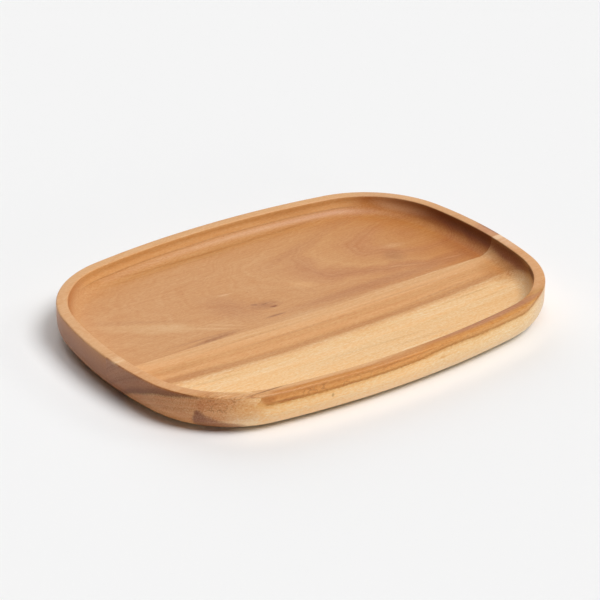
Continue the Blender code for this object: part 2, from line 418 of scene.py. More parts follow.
def angle(label, text, degrees):
    """Returns a property for an angle."""
    return bpy.props.FloatProperty(
        name=label, description=text, default=math.radians(degrees), subtype="ANGLE"
    )


def hex_colour(label, text, code):
    """Returns a property for a colour that is given as sRGB hex."""
    return bpy.props.FloatVectorProperty(
        name=label, description=text, default=linear(code), size=4, min=0.0, max=1.0, subtype="COLOR"
    )


def fraction(label, text, default):
    """Returns a property for a share between 0 and 1."""
    return bpy.props.FloatProperty(
        name=label, description=text, default=default, min=0.0, max=1.0, subtype="FACTOR"
    )


def light_share(label, default):
    """Returns a property for how much of the table's light comes from one source."""
    return fraction(label, "Share of the light that the table gets from it", default)


def light_aim(label, text, azimuth, elevation, spread):
    """Returns a property for where a light stands and how wide it looks from the tray, in degrees."""
    angles = [math.radians(degrees) for degrees in (azimuth, elevation, spread)]
    text += ": azimuth from straight in front, elevation and spread"
    return bpy.props.FloatVectorProperty(name=label, description=text, default=angles, unit="ROTATION")


class TrayForm(bpy.types.PropertyGroup):
    """Sizes of the tray and of its glue joint."""

    tray_length: length("Length", "Overall length, along X", CAD_SIZE.x)
    tray_width: length("Width", "Overall width, along Y", CAD_SIZE.y)
    tray_height: length("Height", "Height of the rim above the table", CAD_SIZE.z)
    long_side_radius: length("Long side radius", "Bow of the long sides", LONG_SIDE_RADIUS)
    end_radius: length("End radius", "Bow of the ends", 0.265)
    corner_radius: length("Corner radius", "Radius of the corners", 0.068)
    under_curve_radius: length("Under-curve", "Round between the underside and the wall", 0.014)
    outer_edge_radius: length("Outer edge", "Sanded round on the rim's outer edge", 0.0012)
    rim_width: length("Rim width", "Width of the flat rim", 0.0073)
    inner_edge_radius: length("Inner edge", "Sanded round on the rim's inner edge", 0.0008)
    recess_depth: length("Recess depth", "Depth of the floor below the rim", 0.012)
    cove_radius: length("Cove", "Round between the recess wall and its floor", 0.010)
    joint_setback: length("Joint setback", "Distance of the glue joint in front of the middle", 0.0113)
    joint_angle: angle("Joint angle", "Turn of the glue joint from the tray's length", -0.7)
    joint_gap: length("Joint gap", "Hairline that shows between the glued edges", 0.00003)
    sanding_wave: length("Sanding wave", "Height of the unevenness that hand sanding leaves", 0.00012)
    sanding_wave_size: length("Sanding wave size", "Distance between its crests", 0.045)


class TrayWood(bpy.types.PropertyGroup):
    """Fine grain and oil of the acacia."""

    sway: length("Sway", "How far the grain wanders to each side", 0.0012)
    sway_length: length("Sway length", "Distance along the grain between its bends", 0.090)
    ring_width: length("Ring width", "Width of the fine growth rings", 0.0016)
    ring_depth: fraction("Ring depth", "How much the growth rings darken", 0.22)
    cloud_length: length("Cloud length", "Length of the broad uneven tones", 0.060)
    cloud_width: length("Cloud width", "Width of the broad uneven tones", 0.012)
    cloud_depth: fraction("Cloud depth", "How much the broad tones darken", 0.12)
    fibre_length: length("Fibre length", "Length of the long streaks in the grain", 0.040)
    fibre_width: length("Fibre width", "Width of the long streaks in the grain", 0.0010)
    fibre_depth: fraction("Fibre depth", "How much the long streaks darken", 0.28)
    fleck_length: length("Fleck length", "Length of the fine flecks", 0.0022)
    fleck_width: length("Fleck width", "Width of the fine flecks", 0.0006)
    fleck_depth: fraction("Fleck depth", "How much the fine flecks darken", 0.48)
    pore_length: length("Pore length", "Length of an open pore along the grain", 0.0022)
    pore_width: length("Pore width", "Width of a pore, wider than the real 0.2 mm so that it shows", 0.0003)
    pore_depth: fraction("Pore depth", "How dark the pores are", 0.50)
    roughness: fraction("Roughness", "Roughness of the satin oil", 0.42)
    pore_roughness: fraction("Pore roughness", "Roughness of the oil over the pores", 0.60)
    relief: length("Relief", "Depth of the pores and flecks after sanding", 0.000015)


class TrayStudio(bpy.types.PropertyGroup):
    """Camera, table and light."""

    camera_azimuth: angle("Camera azimuth", "Turn about the tray from straight in front", -35.976)
    camera_elevation: angle("Camera elevation", "Angle of the camera above the table", 27.169)
    camera_roll: angle("Camera roll", "Turn of the camera about its own line of sight", 0.514)
    camera_distance: length("Camera distance", "From the middle of the rim to the lens", 1.40137)
    camera_pan: bpy.props.FloatVectorProperty(
        name="Camera pan",
        description="Shift of the camera to its right and up",
        default=(-0.002148, -0.009067),
        size=2,
        unit="LENGTH",
    )
    camera_lens: bpy.props.FloatProperty(
        name="Lens", description="Focal length in millimetres on a 36 mm sensor", default=134.605
    )
    table_size: length("Table size", "Side of the table top", 12.0)
    table_colour: hex_colour("Table", "Matt pale paper", "#F3F3F3")
    key_aim: light_aim("Key", "Large softbox in front on the right", 29.0, 56.0, 30.0)
    key_share: light_share("Key share", 0.54)
    overhead_aim: light_aim("Overhead", "Softbox above the tray", -5.0, 82.0, 40.0)
    overhead_share: light_share("Overhead share", 0.235)
    rear_aim: light_aim("Rear bounce", "Pale wall behind the tray", 166.0, 30.0, 50.0)
    rear_share: light_share("Rear share", 0.17)
    side_aim: light_aim("Side fill", "Small reflector on the right", 65.0, 30.0, 14.0)
    side_share: light_share("Side share", 0.045)
    front_aim: light_aim("Front fill", "Reflector that lies low in front of the tray", 0.0, 8.0, 12.0)
    front_share: light_share("Front share", 0.013)
    room_share: light_share("Room share", 0.02)
    room_shown: fraction("Room shown", "Brightness of the room where the camera sees it", 0.9)
    room_mirrored: fraction("Room mirrored", "Brightness of the room where the tray mirrors it", 0.5)


def add_node(tree, kind, inputs=None, **settings):
    """Adds a node with its settings and what its sockets take.

    inputs maps a socket's name or number to a value, to what feeds it, or to a list of what feeds it.
    That is a socket, or a node, which feeds from its first output in use.
    """
    made = tree.nodes.new(kind)
    for name, value in settings.items():
        setattr(made, name, value)
    for key, value in (inputs or {}).items():
        for source in value if isinstance(value, list) else [value]:
            if isinstance(source, bpy.types.Node):
                source = next(output for output in source.outputs if output.enabled)
            if isinstance(source, bpy.types.NodeSocket):
                tree.links.new(source, made.inputs[key])
            else:
                made.inputs[key].default_value = source
    return made


def new_material(name):
    """Makes a material, and returns it with its node tree."""
    material = bpy.data.materials.new(name)
    material.use_nodes = True
    return material, material.node_tree


def corner_centre(form, side_centre, end_centre):
    """Returns the centre of the corner arc that touches the long-side arc and the end arc from inside."""
    to_side = form.long_side_radius - form.corner_radius
    to_end = form.end_radius - form.corner_radius
    between = end_centre - side_centre
    span = between.length
    along = (span ** 2 + to_side ** 2 - to_end ** 2) / (2 * span)
    across = math.sqrt(to_side ** 2 - along ** 2)
    forward = between / span
    return side_centre + forward * along + Vector((forward.y, -forward.x)) * across


def outline_points(form):
    """Returns the tray's outline as points that run counterclockwise, with the same steps on each arc."""
    side_centre = Vector((0.0, form.tray_width / 2 - form.long_side_radius))
    end_centre = Vector((form.tray_length / 2 - form.end_radius, 0.0))
    corner = corner_centre(form, side_centre, end_centre)
    from_side = corner - side_centre
    from_end = corner - end_centre
    side_turn = math.atan2(from_side.y, from_side.x)
    end_turn = math.atan2(from_end.y, from_end.x)
    arcs = (
        (side_centre, form.long_side_radius, QUARTER_TURN, side_turn),
        (corner, form.corner_radius, side_turn, end_turn),
        (end_centre, form.end_radius, end_turn, 0.0),
    )
    quarter = []
    for centre, radius, start, end in arcs:
        for step in range(OUTLINE_STEPS):
            turn = start + (end - start) * step / OUTLINE_STEPS
            quarter.append(centre + Vector((math.cos(turn), math.sin(turn))) * radius)
    front = [Vector((point.x, -point.y)) for point in reversed(quarter)]
    right_half = quarter + [Vector((form.tray_length / 2, 0.0))] + front
    left_half = [Vector((-point.x, point.y)) for point in reversed(right_half[1:-1])]
    return list(reversed(right_half + left_half))


def round_points(inset, height, radius, start, end, steps):
    """Returns a round of the wall's section as points of inset and height."""
    points = []
    for step in range(steps + 1):
        turn = start + (end - start) * step / steps
        points.append(Vector((inset + radius * math.cos(turn), height + radius * math.sin(turn))))
    return points


def wall_points(form):
    """Returns the wall's section as points of inset and height, from the underside to the floor."""
    left = 2 * QUARTER_TURN
    rim = form.tray_height
    curve = form.under_curve_radius
    outer = form.outer_edge_radius
    inner = form.inner_edge_radius
    cove = form.cove_radius
    floor = rim - form.recess_depth
    return (
        round_points(curve, curve, curve, left + QUARTER_TURN, left, ROUND_STEPS)
        + round_points(outer, rim - outer, outer, left, QUARTER_TURN, EDGE_STEPS)
        + round_points(form.rim_width - inner, rim - inner, inner, QUARTER_TURN, 0.0, EDGE_STEPS)
        + round_points(form.rim_width + cove, floor + cove, cove, left, left + QUARTER_TURN, ROUND_STEPS)
    )


def guide_curve(name, points, closed):
    """Makes a poly curve through flat points, to be swept and then removed."""
    curve = bpy.data.curves.new(name, "CURVE")
    curve.dimensions = "3D"
    spline = curve.splines.new("POLY")
    spline.points.add(len(points) - 1)
    for place, point in zip(spline.points, points):
        place.co = (point.x, point.y, 0.0, 1.0)
    spline.use_cyclic_u = closed
    guide = bpy.data.objects.new(name, curve)
    bpy.context.scene.collection.objects.link(guide)
    return guide


def tray_board_tree():
    """Builds the geometry nodes of a board: a plank cut to the swept, hollowed form of the tray."""
    tree = bpy.data.node_groups.new(BOARD_TREE, "GeometryNodeTree")
    for name, kind in (
        ("Outline", "Object"),
        ("Section", "Object"),
        ("Floor Height", "Float"),
        ("Plank Size", "Vector"),
        ("Plank Centre", "Vector"),
        ("Joint Place", "Vector"),
        ("Joint Turn", "Vector"),
        ("Wave Height", "Float"),
        ("Wave Size", "Float"),
        ("Crisp Angle", "Float"),
        ("Wood", "Material"),
    ):
        tree.interface.new_socket(name=name, in_out="INPUT", socket_type="NodeSocket" + kind)
    tree.interface.new_socket(name="Board", in_out="OUTPUT", socket_type="NodeSocketGeometry")
    given = add_node(tree, "NodeGroupInput").outputs

    # The wall: the section swept along the outline, from the floor over the rim to the underside
    outline = add_node(tree, "GeometryNodeObjectInfo", {"Object": given["Outline"]}).outputs["Geometry"]
    section = add_node(tree, "GeometryNodeObjectInfo", {"Object": given["Section"]}).outputs["Geometry"]
    upright = add_node(tree, "GeometryNodeSetCurveNormal", {"Curve": outline}, mode="Z_UP")
    wall = add_node(tree, "GeometryNodeCurveToMesh", {"Curve": upright, "Profile Curve": section})

    # The floor and the underside: flat faces filled in the wall's upper and lower open edge
    place = add_node(tree, "GeometryNodeInputPosition")
    height = add_node(tree, "ShaderNodeSeparateXYZ", {"Vector": place}).outputs["Z"]
    faces = add_node(tree, "GeometryNodeInputMeshEdgeNeighbors")
    is_open = add_node(tree, "FunctionNodeCompare", {"A": faces, "B": OPEN_EDGE_FACES}, operation="LESS_THAN")
    half_floor = add_node(tree, "ShaderNodeMath", {0: given["Floor Height"], 1: 2.0}, operation="DIVIDE")
    is_high = add_node(tree, "FunctionNodeCompare", {"A": height, "B": half_floor}, operation="GREATER_THAN")
    filled = []
    for operation in ("AND", "NIMPLY"):
        edge = add_node(tree, "FunctionNodeBooleanMath", {0: is_open, 1: is_high}, operation=operation)
        ring = add_node(tree, "GeometryNodeMeshToCurve", {"Mesh": wall, "Selection": edge})
        filled.append(add_node(tree, "GeometryNodeFillCurve", {"Curve": ring}, mode="NGONS"))
    floor_face, underside_face = filled
    floor_place = add_node(tree, "ShaderNodeCombineXYZ", {"Z": given["Floor Height"]})
    floor = add_node(tree, "GeometryNodeTransform", {"Geometry": floor_face, "Translation": floor_place})
    underside = add_node(tree, "GeometryNodeFlipFaces", {"Mesh": underside_face})
    parts = add_node(tree, "GeometryNodeJoinGeometry", {"Geometry": [wall, floor, underside]})
    form = add_node(tree, "GeometryNodeMergeByDistance", {"Geometry": parts, "Distance": MERGE_DISTANCE})

    # Hand sanding leaves the rim and the wall above the floor very slightly uneven; the rest stays true
    normal = add_node(tree, "GeometryNodeInputNormal")
    wave_scale = add_node(tree, "ShaderNodeMath", {0: 1.0, 1: given["Wave Size"]}, operation="DIVIDE")
    wave = add_node(
        tree, "ShaderNodeTexNoise", {"Vector": place, "Scale": wave_scale, "Detail": WAVE_DETAIL}
    )
    centred = add_node(tree, "ShaderNodeMath", {0: wave, 1: NOISE_MIDDLE}, operation="SUBTRACT")
    lifted = add_node(
        tree,
        "ShaderNodeMapRange",
        {
            "Value": height,
            "From Min": given["Floor Height"],
            "From Max": CAD_SIZE.z,
            "To Max": given["Wave Height"],
        },
        interpolation_type="SMOOTHSTEP",
    )
    amount = add_node(tree, "ShaderNodeMath", {0: centred, 1: lifted}, operation="MULTIPLY")
    offset = add_node(tree, "ShaderNodeVectorMath", {"Vector": normal, "Scale": amount}, operation="SCALE")
    sanded = add_node(tree, "GeometryNodeSetPosition", {"Geometry": form, "Offset": offset})

    # The plank, set against the joint and cut to the form
    block = add_node(tree, "GeometryNodeMeshCube", {"Size": given["Plank Size"]})
    beside = {"Geometry": block, "Translation": given["Plank Centre"]}
    square = add_node(tree, "GeometryNodeTransform", beside)
    turned = {"Geometry": square, "Translation": given["Joint Place"], "Rotation": given["Joint Turn"]}
    plank = add_node(tree, "GeometryNodeTransform", turned)
    cut = add_node(
        tree, "GeometryNodeMeshBoolean", {"Mesh 2": [sanded, plank]}, operation="INTERSECT", solver="EXACT"
    )

    # Rounds shade smooth, and the glued edge stays crisp
    smooth = add_node(tree, "GeometryNodeSetShadeSmooth", {"Geometry": cut})
    bend = add_node(tree, "GeometryNodeInputMeshEdgeAngle")
    is_crisp = add_node(
        tree, "FunctionNodeCompare", {"A": bend, "B": given["Crisp Angle"]}, operation="GREATER_THAN"
    )
    kept = {"Geometry": smooth, "Selection": is_crisp, "Shade Smooth": False}
    crisp = add_node(tree, "GeometryNodeSetShadeSmooth", kept, domain="EDGE")
    real = add_node(tree, "GeometryNodeRealizeInstances", {"Geometry": crisp})
    finished = add_node(tree, "GeometryNodeSetMaterial", {"Geometry": real, "Material": given["Wood"]})
    add_node(tree, "NodeGroupOutput", {"Board": finished})
    return tree


def make_board(form, name, side, wood):
    """Makes one board as a plain mesh. side is 1 for the board behind the joint and -1 for the front one."""
    outline = guide_curve("tray_outline", outline_points(form), closed=True)
    section = [Vector((-point.x, -point.y)) for point in reversed(wall_points(form))]
    profile = guide_curve("wall_section", section, closed=False)
    reach = form.tray_width / 2 + side * form.joint_setback + PLANK_WASTE
    values = {
        "Outline": outline,
        "Section": profile,
        "Floor Height": form.tray_height - form.recess_depth,
        "Plank Size": (form.tray_length + 2 * PLANK_WASTE, reach, form.tray_height + 2 * PLANK_WASTE),
        "Plank Centre": (0.0, side * (reach + form.joint_gap) / 2, form.tray_height / 2),
        "Joint Place": (0.0, -form.joint_setback, 0.0),
        "Joint Turn": (0.0, 0.0, form.joint_angle),
        "Wave Height": form.sanding_wave,
        "Wave Size": form.sanding_wave_size,
        "Crisp Angle": CRISP_ANGLE,
        "Wood": wood,
    }
    tree = bpy.data.node_groups.get(BOARD_TREE) or tray_board_tree()
    maker = bpy.data.objects.new(name + "_maker", bpy.data.meshes.new(name + "_maker"))
    modifier = maker.modifiers.new("machined", "NODES")
    modifier.node_group = tree
    for socket in tree.interface.items_tree:
        if socket.in_out == "INPUT":
            modifier[socket.identifier] = values[socket.name]
    bpy.context.scene.collection.objects.link(maker)
    graph = bpy.context.evaluated_depsgraph_get()
    mesh = bpy.data.meshes.new_from_object(maker.evaluated_get(graph))
    mesh.name = name
    for guide in (maker, outline, profile):
        bpy.data.objects.remove(guide)
    board = bpy.data.objects.new(name, mesh)
    bpy.context.scene.collection.objects.link(board)
    return board


def place_in_wood(tree, wood):
    """Returns each place in millimetres, swayed off the straight as grown wood is."""
    place = add_node(tree, "ShaderNodeTexCoord").outputs["Object"]
    across = SWAY_CLOSER / wood.sway_length
    scale = (1 / wood.sway_length, across, across)
    stretched = add_node(tree, "ShaderNodeMapping", {"Vector": place, "Scale": scale})
    drift = add_node(
        tree, "ShaderNodeTexNoise", {"Vector": stretched, "Scale": 1.0, "Detail": NOISE_DETAIL}
    )
    middle = (NOISE_MIDDLE, NOISE_MIDDLE, NOISE_MIDDLE)
    centred = add_node(
        tree, "ShaderNodeVectorMath", {0: drift.outputs["Color"], 1: middle}, operation="SUBTRACT"
    )
    sideways = (0.0, 2 * wood.sway, 2 * wood.sway)
    swayed = add_node(
        tree, "ShaderNodeVectorMath", {0: centred, 1: sideways, 2: place}, operation="MULTIPLY_ADD"
    )
    return add_node(tree, "ShaderNodeVectorMath", {"Vector": swayed, "Scale": MILLIMETRES}, operation="SCALE")


def streaks(tree, place, streak_length, width):
    """Returns noise whose cells are long along the grain, from their sizes in metres."""
    along = 1 / (streak_length * MILLIMETRES)
    across = 1 / (width * MILLIMETRES)
    stretched = add_node(tree, "ShaderNodeMapping", {"Vector": place, "Scale": (along, across, across)})
    return add_node(
        tree, "ShaderNodeTexNoise", {"Vector": stretched, "Scale": 1.0, "Detail": NOISE_DETAIL}
    )


def coloured_by(tree, value, stops):
    """Colours a value by stops, each a place in millimetres and an sRGB hex colour."""
    first, last = stops[0][0], stops[-1][0]
    share = add_node(tree, "ShaderNodeMapRange", {"Value": value, "From Min": first, "From Max": last})
    ramp = add_node(tree, "ShaderNodeValToRGB", {"Fac": share})
    marks = ramp.color_ramp.elements
    while len(marks) < len(stops):
        marks.new(1.0)
    for mark, (stop, code) in zip(marks, stops):
        mark.position = (stop - first) / (last - first)
        mark.color = linear(code)
    return ramp


def mark_share(tree, place, fray, mark):
    """Returns how strongly a mark shows, with its edge frayed along the grain."""
    turn = (0.0, 0.0, math.radians(mark.turn))
    ellipsoid = {"Vector": place, "Location": mark.centre, "Rotation": turn, "Scale": mark.half_size}
    within = add_node(tree, "ShaderNodeMapping", ellipsoid, vector_type="TEXTURE")
    depth = add_node(tree, "ShaderNodeTexGradient", {"Vector": within}, gradient_type="SPHERICAL")
    ragged = add_node(
        tree, "ShaderNodeMath", {0: fray, 1: 2 * mark.fray, 2: 1.0 - mark.fray}, operation="MULTIPLY_ADD"
    )
    frayed = add_node(tree, "ShaderNodeMath", {0: ragged, 1: depth.outputs["Fac"]}, operation="MULTIPLY")
    return add_node(
        tree,
        "ShaderNodeMapRange",
        {"Value": frayed, "From Max": mark.softness, "To Max": mark.strength},
        interpolation_type="SMOOTHSTEP",
    )


def with_marks(tree, colour, place, fray, marks, lines=None):
    """Returns the colour with each mark laid over it, and only along lines where these are given."""
    for mark in marks:
        share = mark_share(tree, place, fray, mark)
        if lines:
            share = add_node(tree, "ShaderNodeMath", {0: share, 1: lines}, operation="MULTIPLY")
        over = {"Factor": share, MIX_UNDER: colour, MIX_OVER: linear(mark.colour)}
        colour = add_node(tree, "ShaderNodeMix", over, data_type="RGBA")
    return colour


def loop_growth(tree, place):
    """Returns how far each place lies from the heart of the loops, in millimetres.

    The rear board's rings are cut at a slant, so they show as loops that lengthen along the grain to the
    left of their heart, and each loop lies a little wider in the wood above the floor.
    """
    spread = add_node(tree, "ShaderNodeSeparateXYZ", {"Vector": place}).outputs
    along = spread["X"]
    for operation, number in (
        ("SUBTRACT", LOOP_HEART[0]),
        ("MULTIPLY", -1.0),
        ("MAXIMUM", LOOP_TIP),
        ("POWER", 2 * LOOP_TAPER),
        ("MULTIPLY", LOOP_WIDTH ** 2),
    ):
        along = add_node(tree, "ShaderNodeMath", {0: along, 1: number}, operation=operation)
    loop = spread["Y"]
    for operation, number in (("SUBTRACT", LOOP_HEART[1]), ("POWER", 2.0), ("ADD", along), ("SQRT", 0.0)):
        loop = add_node(tree, "ShaderNodeMath", {0: loop, 1: number}, operation=operation)
    above = add_node(tree, "ShaderNodeMath", {0: spread["Z"], 1: LOOP_HEART[2]}, operation="SUBTRACT")
    growth = add_node(tree, "ShaderNodeMath", {0: above, 1: LOOP_SLANT, 2: loop}, operation="MULTIPLY_ADD")
    wander = add_node(
        tree,
        "ShaderNodeTexNoise",
        {"Vector": place, "Scale": 1 / LOOP_WANDER_SIZE, "Detail": NOISE_DETAIL},
    )
    centred = add_node(tree, "ShaderNodeMath", {0: wander, 1: NOISE_MIDDLE}, operation="SUBTRACT")
    return add_node(tree, "ShaderNodeMath", {0: centred, 1: LOOP_WANDER, 2: growth}, operation="MULTIPLY_ADD")


def sapwood_growth(tree, place, fray):
    """Returns how far each place lies above the bottom of the heartwood, in millimetres.

    The front board is sapwood below and in front, and heartwood above and behind. The surface between
    them is level under the front rim and falls away behind it.
    """
    spread = add_node(tree, "ShaderNodeSeparateXYZ", {"Vector": place}).outputs
    bow = spread["X"]
    for operation, number in (
        ("DIVIDE", HEARTWOOD_HALF_BOW),
        ("POWER", 2.0),
        ("MULTIPLY", -HEARTWOOD_BOW),
        ("ADD", spread["Y"]),
    ):
        bow = add_node(tree, "ShaderNodeMath", {0: bow, 1: number}, operation=operation)
    behind = add_node(
        tree, "ShaderNodeMath", {0: spread["X"], 1: HEARTWOOD_SWING, 2: bow}, operation="MULTIPLY_ADD"
    )
    for operation, number in (("SUBTRACT", HEARTWOOD_EDGE), ("MAXIMUM", 0.0)):
        behind = add_node(tree, "ShaderNodeMath", {0: behind, 1: number}, operation=operation)
    growth = behind
    for operation, number in (
        ("MULTIPLY", HEARTWOOD_BEND),
        ("ADD", HEARTWOOD_SLOPE),
        ("MULTIPLY", behind),
        ("ADD", spread["Z"]),
        ("SUBTRACT", HEARTWOOD_BOTTOM),
    ):
        growth = add_node(tree, "ShaderNodeMath", {0: growth, 1: number}, operation=operation)
    growth = add_node(
        tree, "ShaderNodeMath", {0: spread["X"], 1: -HEARTWOOD_TILT, 2: growth}, operation="MULTIPLY_ADD"
    )
    for dent in HEARTWOOD_DENTS:
        depth = mark_share(tree, place, fray, dent)
        growth = add_node(tree, "ShaderNodeMath", {0: growth, 1: depth}, operation="SUBTRACT")

    # The corner: the bottom rises in front of one line and to the left of another
    ragged = add_node(
        tree, "ShaderNodeMath", {0: fray, 1: 2 * CORNER_ENDS_WITHIN, 2: spread["X"]}, operation="MULTIPLY_ADD"
    )
    in_corner = add_node(
        tree,
        "ShaderNodeMapRange",
        {
            "Value": ragged,
            "From Min": CORNER_ENDS + CORNER_ENDS_WITHIN,
            "From Max": CORNER_ENDS,
            "To Max": CORNER_RISE,
        },
        interpolation_type="SMOOTHSTEP",
    )
    before = add_node(tree, "ShaderNodeMath", {0: CORNER_FROM, 1: spread["Y"]}, operation="SUBTRACT")
    ahead = add_node(tree, "ShaderNodeMath", {0: before, 1: 0.0}, operation="MAXIMUM")
    rise = add_node(tree, "ShaderNodeMath", {0: ahead, 1: in_corner}, operation="MULTIPLY")
    risen = add_node(tree, "ShaderNodeMath", {0: growth, 1: rise}, operation="SUBTRACT")
    wobbled = add_node(
        tree, "ShaderNodeMath", {0: fray, 1: HEARTWOOD_WOBBLE, 2: risen}, operation="MULTIPLY_ADD"
    )
    return add_node(tree, "ShaderNodeMath", {0: wobbled, 1: HEARTWOOD_WOBBLE / 2}, operation="SUBTRACT")


def end_facing(tree, side):
    """Returns how squarely a face looks out of the ends of the tray, or into the recess if side is -1."""
    coordinates = add_node(tree, "ShaderNodeTexCoord").outputs
    along = add_node(tree, "ShaderNodeSeparateXYZ", {"Vector": coordinates["Object"]}).outputs["X"]
    facing = add_node(tree, "ShaderNodeSeparateXYZ", {"Vector": coordinates["Normal"]}).outputs["X"]
    end = add_node(tree, "ShaderNodeMath", {0: along}, operation="SIGN")
    outwards = add_node(tree, "ShaderNodeMath", {0: end, 1: facing}, operation="MULTIPLY")
    return add_node(tree, "ShaderNodeMath", {0: outwards, 1: side}, operation="MULTIPLY")


def curled(tree, colour, place, fray):
    """Returns the colour with thin dark lines where the grain curls."""
    hills = streaks(tree, place, CURL_LENGTH, CURL_SPACING)
    centred = add_node(tree, "ShaderNodeMath", {0: hills, 1: NOISE_MIDDLE}, operation="SUBTRACT")
    beside = add_node(tree, "ShaderNodeMath", {0: centred}, operation="ABSOLUTE")
    lines = add_node(
        tree,
        "ShaderNodeMapRange",
        {"Value": beside, "From Max": CURL_WIDTH, "To Min": 1.0, "To Max": 0.0},
        interpolation_type="SMOOTHSTEP",
    )
    return with_marks(tree, colour, place, fray, CURL_MARKS, lines)


def finish_wood(tree, colour, growth, place, wood, ends, liveliness):
    """Gives a board its fine grain, pores, end grain, painted shade in the right end and satin oil, and joins
    it to the shader.

    ends are the layers of the end grain, and liveliness is how strong the board's fine grain is below
    and above the bottom of its heartwood.
    """
    spread = add_node(tree, "ShaderNodeSeparateXYZ", {"Vector": place}).outputs
    rings = add_node(
        tree,
        "ShaderNodeTexNoise",
        {"W": growth, "Scale": 1 / (wood.ring_width * MILLIMETRES), "Detail": RING_DETAIL},
        noise_dimensions="1D",
    )
    clouds = streaks(tree, place, wood.cloud_length, wood.cloud_width)
    fibres = streaks(tree, place, wood.fibre_length, wood.fibre_width)
    flecks = streaks(tree, place, wood.fleck_length, wood.fleck_width)
    grain = -(wood.ring_depth + wood.cloud_depth + wood.fibre_depth + wood.fleck_depth) / 2
    for pattern, depth in (
        (rings, wood.ring_depth),
        (clouds, wood.cloud_depth),
        (fibres, wood.fibre_depth),
        (flecks, wood.fleck_depth),
    ):
        grain = add_node(tree, "ShaderNodeMath", {0: pattern, 1: depth, 2: grain}, operation="MULTIPLY_ADD")
    below, above = liveliness
    lively = add_node(
        tree,
        "ShaderNodeMapRange",
        {
            "Value": growth,
            "From Min": -LIVELY_WITHIN,
            "From Max": LIVELY_WITHIN,
            "To Min": below,
            "To Max": above,
        },
    )
    gamma = add_node(tree, "ShaderNodeMath", {0: grain, 1: lively, 2: 1.0}, operation="MULTIPLY_ADD")
    grained = add_node(tree, "ShaderNodeGamma", {"Color": colour, "Gamma": gamma})

    # Open pores: short dark lines on the faces along the grain, dots on the ends
    pores = streaks(tree, place, wood.pore_length, wood.pore_width)
    open_pores = add_node(
        tree,
        "ShaderNodeMapRange",
        {"Value": pores, "From Min": PORE_FROM, "From Max": PORE_FULL},
        interpolation_type="SMOOTHSTEP",
    )
    pore_share = add_node(tree, "ShaderNodeMath", {0: open_pores, 1: wood.pore_depth}, operation="MULTIPLY")
    darkened = {"Factor": pore_share, MIX_UNDER: grained, MIX_OVER: linear(PORE_TINT)}
    ended = add_node(tree, "ShaderNodeMix", darkened, data_type="RGBA", blend_type="MULTIPLY")

    # End grain drinks more oil, so the ends of the tray are darker; the right end's inside is darker still
    # with painted shade towards the rim
    on_right = add_node(tree, "ShaderNodeMath", {0: spread["X"], 1: 0.0}, operation="GREATER_THAN")
    for side, most, layers in ((1.0, 1.0, ends), (-1.0, 1.0, ends), (-1.0, on_right, INNER_RIGHT_PAINTED_SHADE)):
        end_share = add_node(
            tree,
            "ShaderNodeMapRange",
            {"Value": end_facing(tree, side), "From Min": END_GRAIN_FROM, "To Max": most},
            interpolation_type="SMOOTHSTEP",
        )
        oiled_and_shaded = {"Factor": end_share, MIX_UNDER: ended, MIX_OVER: coloured_by(tree, spread["Z"], layers)}
        ended = add_node(tree, "ShaderNodeMix", oiled_and_shaded, data_type="RGBA", blend_type="MULTIPLY")

    # The oil lies satin on the closed wood and duller over the pores, which sit a trace below it
    shine = add_node(
        tree,
        "ShaderNodeMapRange",
        {"Value": open_pores, "To Min": wood.roughness, "To Max": wood.pore_roughness},
    )
    raised = add_node(tree, "ShaderNodeMath", {0: flecks, 1: open_pores}, operation="SUBTRACT")
    relief = add_node(tree, "ShaderNodeBump", {"Height": raised, "Strength": 1.0, "Distance": wood.relief})
    shader = tree.nodes["Principled BSDF"]
    shader.inputs["IOR"].default_value = OIL_IOR
    tree.links.new(ended.outputs[MIX_RESULT], shader.inputs["Base Color"])
    tree.links.new(shine.outputs["Result"], shader.inputs["Roughness"])
    tree.links.new(relief.outputs["Normal"], shader.inputs["Normal"])


def rim_painted_sheen(tree, colour, height, code):
    """Returns the colour with the rim's flat top painted paler, a painted sheen."""
    # Painted sheen: the flat top of the rim is mixed towards a paler colour
    sanding = add_node(
        tree,
        "ShaderNodeMapRange",
        {
            "Value": height,
            "From Min": RIM_SHEEN_FROM,
            "From Max": RIM_SHEEN_FROM + RIM_SHEEN_WITHIN,
            "To Max": RIM_SHEEN_SHARE,
        },
        interpolation_type="SMOOTHSTEP",
    )
    pale = {"Factor": sanding, MIX_UNDER: colour, MIX_OVER: linear(code)}
    return add_node(tree, "ShaderNodeMix", pale, data_type="RGBA")


def rear_wall(tree, colour, spread):
    """Returns the colour with the rear wall of the recess more golden, and with painted shade by height,
    darkest where the cutter left a crease.
    """
    behind = add_node(
        tree,
        "ShaderNodeMapRange",
        {"Value": spread["Y"], "From Min": REAR_WALL_FROM, "From Max": REAR_WALL_FROM + REAR_WALL_WITHIN},
        interpolation_type="SMOOTHSTEP",
    )
    high = add_node(
        tree,
        "ShaderNodeMapRange",
        {"Value": spread["Z"], "From Min": REAR_WALL_FOOT, "From Max": REAR_WALL_HEAD},
        interpolation_type="SMOOTHSTEP",
    )
    golden = add_node(tree, "ShaderNodeMath", {0: behind, 1: high}, operation="MULTIPLY")
    gilded = {"Factor": golden, MIX_UNDER: colour, MIX_OVER: linear(REAR_WALL_COLOUR)}
    walled = add_node(tree, "ShaderNodeMix", gilded, data_type="RGBA")
    # Painted shade by height, darkest in a line at the crease
    shading = coloured_by(tree, spread["Z"], REAR_WALL_PAINTED_SHADE)
    shaded = {"Factor": behind, MIX_UNDER: walled, MIX_OVER: shading}
    return add_node(tree, "ShaderNodeMix", shaded, data_type="RGBA", blend_type="MULTIPLY")


